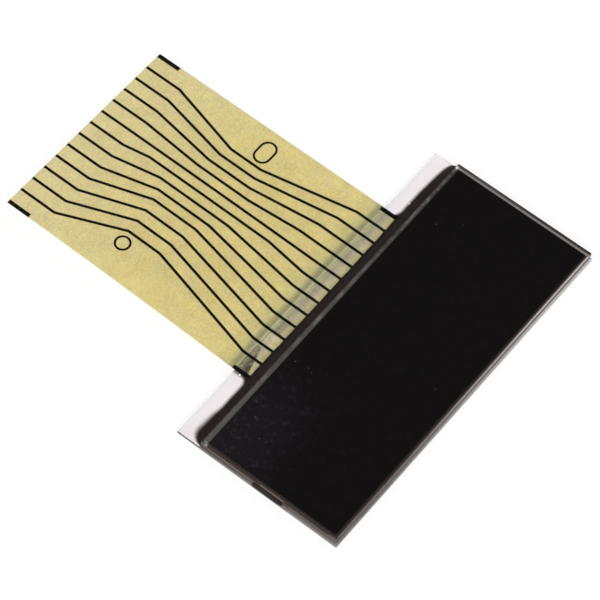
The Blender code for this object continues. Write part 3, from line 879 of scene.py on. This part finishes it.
@dataclass
class ConnectorFilm:
    """The see-through film: flat where it is bonded, then gently lifted towards its left free corner."""

    lift: float = 1.42 * MM
    soft_start: float = 1.0 * MM
    on_ledge: float = 3.34 * MM
    thickness: float = 0.1 * MM
    cell: float = 0.5 * MM
    finish: FilmFinish = FilmFinish()

    def __post_init__(self) -> None:
        """Take the film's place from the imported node."""
        self.low, self.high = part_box("connector_film")

    def rise(self, x: float, y: float) -> float:
        """Give the film's rise over its bonded level at a point.

        Args:
            x: Place across the film in metres.
            y: Place along the film in metres.

        Returns:
            The rise in metres.
        """
        length = self.high.y - self.low.y - self.on_ledge
        past = max(y - self.low.y - self.on_ledge, 0.0)
        softened = sqrt(past ** 2 + self.soft_start ** 2) - self.soft_start
        full = sqrt(length ** 2 + self.soft_start ** 2) - self.soft_start
        along = softened / full
        across = (self.high.x - x) / (self.high.x - self.low.x)
        return self.lift * (2 * along - along ** 2) * across

    def build(self) -> None:
        """Make the film from a fine grid, raised and given its thickness."""
        size = self.high - self.low
        columns = round(size.x / self.cell)
        rows = round(size.y / self.cell)
        bm = bmesh.new()
        bmesh.ops.create_grid(bm, x_segments=columns, y_segments=rows, size=0.5)
        bmesh.ops.scale(bm, vec=(size.x, size.y, 1.0), verts=bm.verts)
        middle = (self.low + self.high) / 2
        bmesh.ops.translate(bm, vec=(middle.x, middle.y, self.low.z), verts=bm.verts)
        for vert in bm.verts:
            vert.co.z += self.rise(vert.co.x, vert.co.y)
        grown = bmesh.ops.extrude_face_region(bm, geom=bm.faces[:])
        top = [item for item in grown["geom"] if isinstance(item, bmesh.types.BMVert)]
        bmesh.ops.translate(bm, vec=(0, 0, self.thickness), verts=top)
        new_piece(bm, "film_sheet", "connector_film", [self.finish.material()])


@dataclass
class PrintedFilmLayer:
    """Tracks, index bars and rings under the film, in carbon ink that spread past its stencil."""

    track_spread: float = 0.03 * MM
    ring_spread: float = 0.042 * MM
    upright: float = 0.9
    same_side: float = 0.9999
    finish: PlainFinish = INK

    def build(self) -> None:
        """Make the tracks and rings with their spread ink, and dress the index bars."""
        ink = self.finish.material()
        for node in sorted(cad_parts):
            if node.startswith("index_bar_"):
                dress_node(node, ink)
            elif node.startswith("track_"):
                self.print_line(node, ink, self.track_spread)
            elif node.endswith("_ring"):
                self.print_line(node, ink, self.ring_spread)

    def print_line(self, node: str, ink: Material, spread: float) -> None:
        """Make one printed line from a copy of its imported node, ending with the film.

        Args:
            node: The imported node.
            ink: The ink's material.
            spread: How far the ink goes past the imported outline.
        """
        bm = copied_node(node)
        bm.normal_update()
        moves = [(vert, self.outward(vert) * spread) for vert in bm.verts]
        film_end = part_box("connector_film")[1].y
        for vert, move in moves:
            vert.co += move
            vert.co.y = min(vert.co.y, film_end)
        new_piece(bm, f"{node}_ink", node, [ink])

    def outward(self, vert: bmesh.types.BMVert) -> Vector:
        """Give the move that shifts both sides of an outline's corner out by 1.

        Args:
            vert: The corner.

        Returns:
            The move, or none where no upright face meets the corner.
        """
        sides: list[Vector] = []
        for face in vert.link_faces:
            across = Vector((face.normal.x, face.normal.y, 0.0))
            if across.length > self.upright and all(across.dot(side) < self.same_side for side in sides):
                sides.append(across.normalized())
        if not sides:
            return Vector((0.0, 0.0, 0.0))
        first, last = sides[0], sides[-1]
        return (first + last) / (1.0 + max(first.dot(last), 0.0))


class RearPart(IntEnum):
    """Numbers of the rear plate's materials. Its sides are in the order of Side."""

    STEP = 0
    CLEAR_LEDGE = 1
    LEFT_SIDE = 2
    FAR_SIDE = 5
    LEDGE_LEFT_END = 6


@dataclass
class GlassCell:
    """Two glass plates, their polarizers and the layers between them, with cut edges in the order of Side."""

    arris: float = 0.03 * MM
    polarizer_edge: float = 0.025 * MM
    flat_angle: float = radians(15)
    lying: float = 0.5
    sloping: Span = (0.2, 0.98)
    across_corner: float = 0.04
    margin: MarginFinish = MarginFinish()
    step: StepFinish = StepFinish()
    clear: ClearGlassFinish = ClearGlassFinish()
    polarizer: PolarizerFinish = PolarizerFinish()
    # Painted light and shade: each side gets its own tones from how light falls on it and how it reflects the
    # room, and the far side is painted nearly white.
    cut_edges: tuple[CutEdgeFinish, ...] = (
        CutEdgeFinish("cut_edge_left", (112, 103, 98), (78, 71, 67), False, port_span=(-5.5, 0.6),
                      foot=(0.68, 1.35), top=(0.5, 1.15)),
        CutEdgeFinish("cut_edge_right", (96, 90, 88), (176, 172, 172), False),
        CutEdgeFinish("cut_edge_near", (84, 79, 77), (150, 144, 142), True, reach=(-29.0, 31.0),
                      foot=(0.95, 0.22), top=(1.1, 1.1)),
        CutEdgeFinish("cut_edge_far", (250, 249, 250), (252, 251, 252), True, 0.05),
    )
    # Its tones are painted light and shade too, with a strong uneven mottle.
    ledge_left: CutEdgeFinish = CutEdgeFinish("cut_edge_ledge_left", (84, 79, 77), (66, 61, 59), False, 1.2)

    def build(self) -> None:
        """Make the plates and polarizers, and dress the inner layers."""
        edges = [finish.material() for finish in self.cut_edges]
        self.build_front([self.margin.material(), *edges])
        self.build_rear([self.step.material(), self.clear.material(), *edges,
                         self.ledge_left.material()])
        for name in ("front_polarizer", "rear_polarizer"):
            self.build_polarizer(name)
        for name, finish in INNER_LAYERS:
            dress_node(name, finish.material())

    @staticmethod
    def box(node: str) -> BMesh:
        """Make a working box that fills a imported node's place.

        Args:
            node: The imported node.

        Returns:
            The working mesh.
        """
        low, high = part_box(node)
        bm = bmesh.new()
        bmesh.ops.create_cube(bm, size=1.0)
        bmesh.ops.scale(bm, vec=high - low, verts=bm.verts)
        bmesh.ops.translate(bm, vec=(low + high) / 2, verts=bm.verts)
        return bm

    def break_edges(self, bm: BMesh) -> None:
        """Break the sharp edges of a plate.

        Args:
            bm: The plate's working mesh.
        """
        bm.normal_update()
        sharp = [edge for edge in bm.edges if edge.calc_face_angle(0.0) > pi / 4]
        bmesh.ops.bevel(bm, geom=sharp, offset=self.arris, offset_type="OFFSET", segments=2, profile=0.5,
                        affect="EDGES", material=-1)

    @staticmethod
    def side_of(face: bmesh.types.BMFace) -> int:
        """Number the side that a plate's upright face is on, in the order of Side."""
        reach = [face.normal.x * side.value[0] + face.normal.y * side.value[1] for side in Side]
        return reach.index(max(reach))

    def build_front(self, materials: list[Material]) -> None:
        """Make the front plate: dark margin on its faces, frosted sides.

        Args:
            materials: The margin's material, then those of the sides in the order of Side.
        """
        bm = self.box("front_glass")
        bm.normal_update()
        for face in bm.faces:
            face.material_index = 0 if abs(face.normal.z) > self.lying else 1 + self.side_of(face)
        self.break_edges(bm)
        new_piece(bm, "front_plate", "front_glass", materials, angle=self.flat_angle)

    def build_rear(self, materials: list[Material]) -> None:
        """Make the rear plate: clear where its ledge is bare, dark under the cell.

        Args:
            materials: The materials in the order of RearPart.
        """
        ledge_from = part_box("front_glass")[1].y
        bm = self.box("rear_glass")
        bmesh.ops.bisect_plane(bm, geom=bm.verts[:] + bm.edges[:] + bm.faces[:], dist=0.0001 * MM,
                               plane_co=(0, ledge_from, 0), plane_no=(0, 1, 0))
        bm.normal_update()
        for face in bm.faces:
            on_ledge = face.calc_center_median().y > ledge_from
            side = RearPart.LEFT_SIDE + self.side_of(face)
            if abs(face.normal.z) > self.lying:
                part = RearPart.CLEAR_LEDGE if on_ledge else RearPart.STEP
            elif on_ledge:
                part = RearPart.LEDGE_LEFT_END if side == RearPart.LEFT_SIDE else RearPart.CLEAR_LEDGE
            else:
                part = side
            face.material_index = part
        self.break_edges(bm)
        # The ledge's sloping and corner bevel faces take the far side's painted near-white tone.
        for face in bm.faces:
            sloping = self.sloping[0] < abs(face.normal.z) < self.sloping[1]
            across = abs(face.normal.x * face.normal.y) > self.across_corner
            if face.material_index == RearPart.CLEAR_LEDGE and (sloping or across):
                face.material_index = RearPart.FAR_SIDE
        new_piece(bm, "rear_plate", "rear_glass", materials, angle=self.flat_angle)

    def build_polarizer(self, node: str) -> None:
        """Make one polarizer sheet with a slightly rounded cut edge.

        Args:
            node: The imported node.
        """
        bm = copied_node(node)
        bmesh.ops.dissolve_limit(bm, angle_limit=radians(1), verts=bm.verts, edges=bm.edges)
        bm.normal_update()
        for face in bm.faces:
            face.material_index = 0 if abs(face.normal.z) > self.lying else 1
        rim = [edge for edge in bm.edges if edge.calc_face_angle(0.0) > pi / 3]
        bmesh.ops.bevel(bm, geom=rim, offset=self.polarizer_edge, offset_type="OFFSET", segments=2,
                        profile=0.5, affect="EDGES", material=1)
        materials = [self.polarizer.face(), self.polarizer.edge()]
        new_piece(bm, f"{node}_sheet", node, materials, angle=self.flat_angle)


@dataclass
class SealantBead:
    """Sealant along the step: a soft loft that drops from the front plate to the ledge and over the film."""

    reach_on_ledge: float = 1.825 * MM
    reach_on_film: float = 1.44 * MM
    sag_on_film: float = 0.09 * MM
    soft_edge: float = 0.78 * MM
    left_softening: float = 0.94
    top_drop: float = 0.04 * MM
    feather: float = 0.02 * MM
    left_round: float = 1.7 * MM
    right_round: float = 3.0 * MM
    round_steps: tuple[int, int] = (8, 12)
    end_shares: Span = (0.08, 0.45)
    swells: tuple[Triple, ...] = (
        (-26.6 * MM, 5.0 * MM, 0.6 * MM), (20.5 * MM, 6.5 * MM, 0.22 * MM),
    )
    wave: float = 0.015 * MM
    wave_lengths: Span = (7.3 * MM, 3.1 * MM)
    gap: float = 0.01 * MM
    shoulder: float = 0.6 * MM
    left_wick: float = 1.55 * MM
    right_wick: float = 1.3 * MM
    left_creep: Span = (0.35 * MM, 0.36 * MM)
    uneven: float = 0.04 * MM
    uneven_scale: float = 0.9
    thinning: float = 0.4
    station: float = 0.2 * MM
    slope_steps: int = 18
    tongue_steps: int = 8
    finish: SealantFinish = SealantFinish()

    THICKNESS = "thickness"

    def __post_init__(self) -> None:
        """Take the bead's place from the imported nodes."""
        low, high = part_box("sealant_bead")
        self.left, self.right = low.x, high.x
        self.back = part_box("front_glass")[1].y + self.gap
        self.foot = low.z
        self.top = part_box("front_glass")[1].z
        film_low, film_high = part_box("connector_film")
        self.film_left, self.film_right = film_low.x, film_high.x
        self.over_film = film_low.z + ConnectorFilm.thickness + self.gap

    def fullness(self, x: float) -> float:
        """Give how full the bead is at x, falling off in a quarter round at each end.

        Args:
            x: Place along the bead in metres.

        Returns:
            A share of the full bead, from the end's own share to 1.
        """
        left = (self.left + self.left_round - x) / self.left_round
        right = (x - self.right + self.right_round) / self.right_round
        outward = min(max(left, right, 0.0), 1.0)
        end_share = self.end_shares[0] if x < 0 else self.end_shares[1]
        return sqrt(1 - outward ** 2) * (1 - end_share) + end_share

    def swell(self, x: float) -> float:
        """Give how much further the bead bulges out at x.

        Args:
            x: Place along the bead in metres.

        Returns:
            The bulge in metres.
        """
        total = 0.0
        for middle, half_width, extra in self.swells:
            aside = min(abs(x - middle) / half_width, 1.0)
            total += extra * (1 - aside ** 2) ** 2
        return total

    def beside_film(self, x: float) -> float:
        """Give how far a point lies beside the film, below 0 on it."""
        return max(self.film_left - x, x - self.film_right)

    def on_film(self, x: float) -> float:
        """Give 1 where the bead lies on the film, falling to 0 just beside it."""
        share = min(max(1 - self.beside_film(x) / self.shoulder, 0.0), 1.0)
        return share * share * (3 - 2 * share)

    def wick(self, x: float) -> float:
        """Give how far the sealant crept along the film's side at x.

        Args:
            x: Place along the bead in metres.

        Returns:
            The reach past the toe in metres.
        """
        beside = self.beside_film(x)
        wick = self.left_wick if x < 0 else self.right_wick
        if beside < 0 or beside > wick:
            return 0.0
        width, length = self.left_creep
        creep = max(1 - beside / width, 0.0) * length if x < 0 else 0.0
        return wick - sqrt(wick ** 2 - (wick - beside) ** 2) + creep

    def stations(self) -> list[float]:
        """Give the sections along X, with pairs on each side of the film's edges.

        Returns:
            Rising places along the bead in metres.
        """
        count = round((self.right - self.left) / self.station)
        even = [self.left + (self.right - self.left) * i / count for i in range(count + 1)]
        rounds = []
        for end, inward, steps in zip((self.left, self.right), (self.left_round, -self.right_round),
                                      self.round_steps):
            rounds += [end + inward * (1 - cos(pi / 2 * i / steps)) for i in range(1, steps)]
        edges = []
        for edge, side in ((self.film_left, -1), (self.film_right, 1)):
            edges += [edge + side * self.gap, edge - side * self.gap]
        return sorted({round(x, 8) for x in even + rounds + edges})

    def section(self, x: float) -> list[Triple]:
        """Give one section as (y, z, thickness) points: down the slope, out to the toe and back under it.

        Args:
            x: Place along the bead in metres.

        Returns:
            The points in order, in metres, with a thickness from 0 at the toe's tip.
        """
        fullness = self.fullness(x)
        waves = sum(sin(2 * pi * x / length) for length in self.wave_lengths)
        uneven = noise.noise(Vector((x / MM * self.uneven_scale, 3.1, 0.0))) * self.uneven
        on_film = 1.0 if self.beside_film(x) < 0 else 0.0
        shoulder = self.on_film(x)
        middle_reach = self.reach_on_ledge + (self.reach_on_film - self.reach_on_ledge) * shoulder
        bulge = self.sag_on_film * (x / self.film_right) ** 2 * shoulder + self.swell(x) * (1 - shoulder)
        reach = (middle_reach + bulge + self.wave * waves + uneven) * fullness
        foot = self.foot + (self.over_film - self.foot) * on_film
        toe = self.foot + (self.over_film - self.foot) * shoulder + self.feather
        crest = toe + (self.top - self.top_drop - toe) * (1 + fullness) / 2
        tongue = self.wick(x)
        tip = self.back + reach + tongue
        points = []
        for i in range(self.slope_steps + 1):
            share = i / self.slope_steps
            points.append((self.back + reach * share, toe + (crest - toe) * (1 + cos(pi * share)) / 2))
        for i in range(1, self.tongue_steps + 1):
            share = i / self.tongue_steps
            height = foot + (toe - foot) * (1 - share) + self.feather * share
            points.append((self.back + reach + tongue * share, height))
        points += [(tip, foot), (self.back, foot)]
        softening = self.swell(x) * self.left_softening if x < 0 else 0.0
        soft_edge = (self.soft_edge + softening) * (self.thinning + (1 - self.thinning) * fullness)
        return [(y, z, max(on_film, (tip - y) / soft_edge)) for y, z in points]

    def build(self) -> None:
        """Make the bead from a grid wrapped around its sections."""
        stations = self.stations()
        around = self.slope_steps + self.tongue_steps + 3
        columns = len(stations) - 1
        bm = bmesh.new()
        layer = bm.verts.layers.float.new(self.THICKNESS)
        bmesh.ops.create_grid(bm, x_segments=columns, y_segments=around, size=0.5)
        sections = [self.section(x) for x in stations]
        for vert in bm.verts:
            i = round((vert.co.x + 0.5) * columns)
            j = round((vert.co.y + 0.5) * around) % around
            y, z, thickness = sections[i][j]
            vert.co = (stations[i], y, z)
            vert[layer] = min(thickness, 1.0)
        bmesh.ops.remove_doubles(bm, verts=bm.verts, dist=0.0005 * MM)
        rims = [edge for edge in bm.edges if edge.is_boundary]
        bmesh.ops.holes_fill(bm, edges=rims, sides=0)
        bmesh.ops.dissolve_degenerate(bm, dist=0.0002 * MM, edges=bm.edges)
        new_piece(bm, "bead_of_sealant", "sealant_bead", [self.finish.material()],
                  angle=pi / 4)


@dataclass
class PortResin:
    """Resin over the fill port, softened from its packed form."""

    rough: float = 0.03 * MM
    rough_scale: float = 1.3
    skin_from: float = 0.02 * MM
    finish: PlainFinish = RESIN

    def build(self) -> None:
        """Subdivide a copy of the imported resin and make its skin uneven."""
        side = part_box("rear_glass")[0].x
        bm = copied_node("end_seal")
        bmesh.ops.subdivide_edges(bm, edges=bm.edges, cuts=1, use_grid_fill=True)
        bmesh.ops.triangulate(bm, faces=bm.faces)
        bm.normal_update()
        for vert in bm.verts:
            outside = side - vert.co.x
            if outside > self.skin_from:
                swell = noise.noise(vert.co / MM * self.rough_scale) * self.rough
                vert.co.x -= max(min(swell, self.rough * 0.5), -0.5 * outside)
        new_piece(bm, "port_resin_cap", "end_seal", [self.finish.material()],
                  angle=pi / 4)


@dataclass(frozen=True)
class SoftBox:
    """One soft studio light, aimed at the display."""

    name: str
    towards: Triple
    distance: float
    size: float
    power: float
    aim: Triple = (0.0, 0.02, 0.0)

    def build(self) -> None:
        """Place the light."""
        data = bpy.data.lights.new(self.name, "AREA")
        data.shape = "SQUARE"
        data.size = self.size
        data.energy = self.power
        lamp = bpy.data.objects.new(self.name, data)
        direction = Vector(self.towards).normalized()
        lamp.location = Vector(self.aim) + direction * self.distance
        lamp.rotation_euler = direction.to_track_quat("Z", "Y").to_euler()
        bpy.context.scene.collection.objects.link(lamp)


@dataclass
class Studio:
    """Floor, light and camera."""

    floor_size: float = 4.0
    floor_drop: float = 0.01 * MM
    world_level: float = 0.2
    boxes: tuple[SoftBox, ...] = (
        SoftBox("left_box", (-0.75, 0.5, 0.6), 0.6, 0.45, 2.5),
        SoftBox("front_box", (-0.35, -0.85, 0.55), 0.6, 0.45, 2.5),
        SoftBox("right_box", (0.85, -0.4, 0.55), 0.6, 0.4, 2.0),
    )
    azimuth: float = -51.0633
    elevation: float = 60.2896
    camera_place: Triple = (-0.19939, -0.14527, 0.44500)
    focal_length: float = 216.195

    def build(self) -> None:
        """Make the whole studio."""
        self.build_floor()
        self.build_world()
        for box in self.boxes:
            box.build()
        self.build_camera()
        bpy.context.scene.view_settings.view_transform = "Standard"

    def build_floor(self) -> None:
        """Lay the floor just under the display."""
        bm = bmesh.new()
        bmesh.ops.create_grid(bm, x_segments=1, y_segments=1, size=self.floor_size / 2)
        bmesh.ops.translate(bm, vec=(0, 0, -self.floor_drop), verts=bm.verts)
        mesh = bpy.data.meshes.new("floor")
        bm.to_mesh(mesh)
        bm.free()
        mesh.materials.append(FloorFinish().material())
        floor = bpy.data.objects.new("floor", mesh)
        bpy.context.scene.collection.objects.link(floor)

    def build_world(self) -> None:
        """Fill the room with a low, even light that reads as white to the camera and to reflections."""
        world = bpy.data.worlds.new("studio")
        world.use_nodes = True
        bench = NodeBench(world.node_tree)
        background = world.node_tree.nodes["Background"]
        bench.feed(background.inputs["Color"], linear(WHITE))
        strength = bench.math("MULTIPLY_ADD", rays_that_see_white(bench), 1.0 - self.world_level,
                              self.world_level)
        bench.feed(background.inputs["Strength"], strength)
        bpy.context.scene.world = world

    def build_camera(self) -> None:
        """Place the camera at the viewing angle of the photograph."""
        turn, tilt = radians(self.azimuth), radians(self.elevation)
        back = Vector((sin(turn) * cos(tilt), -cos(turn) * cos(tilt), sin(tilt)))
        right = Vector((cos(turn), sin(turn), 0.0))
        up = back.cross(right)
        data = bpy.data.cameras.new("camera")
        data.lens = self.focal_length
        data.sensor_width = 36.0
        data.clip_start = 0.01
        data.clip_end = 20.0
        camera = bpy.data.objects.new("camera", data)
        axes = Matrix((right, up, back)).transposed().to_4x4()
        camera.matrix_world = Matrix.Translation(self.camera_place) @ axes
        bpy.context.scene.collection.objects.link(camera)
        bpy.context.scene.camera = camera


def main() -> None:
    """Build and dress the display, then its studio."""
    logging.basicConfig(level=logging.INFO, format="%(message)s")
    for part in (GlassCell(), PortResin(), ConnectorFilm(), PrintedFilmLayer(), SealantBead(), Studio()):
        part.build()


if __name__ == "__main__":
    main()
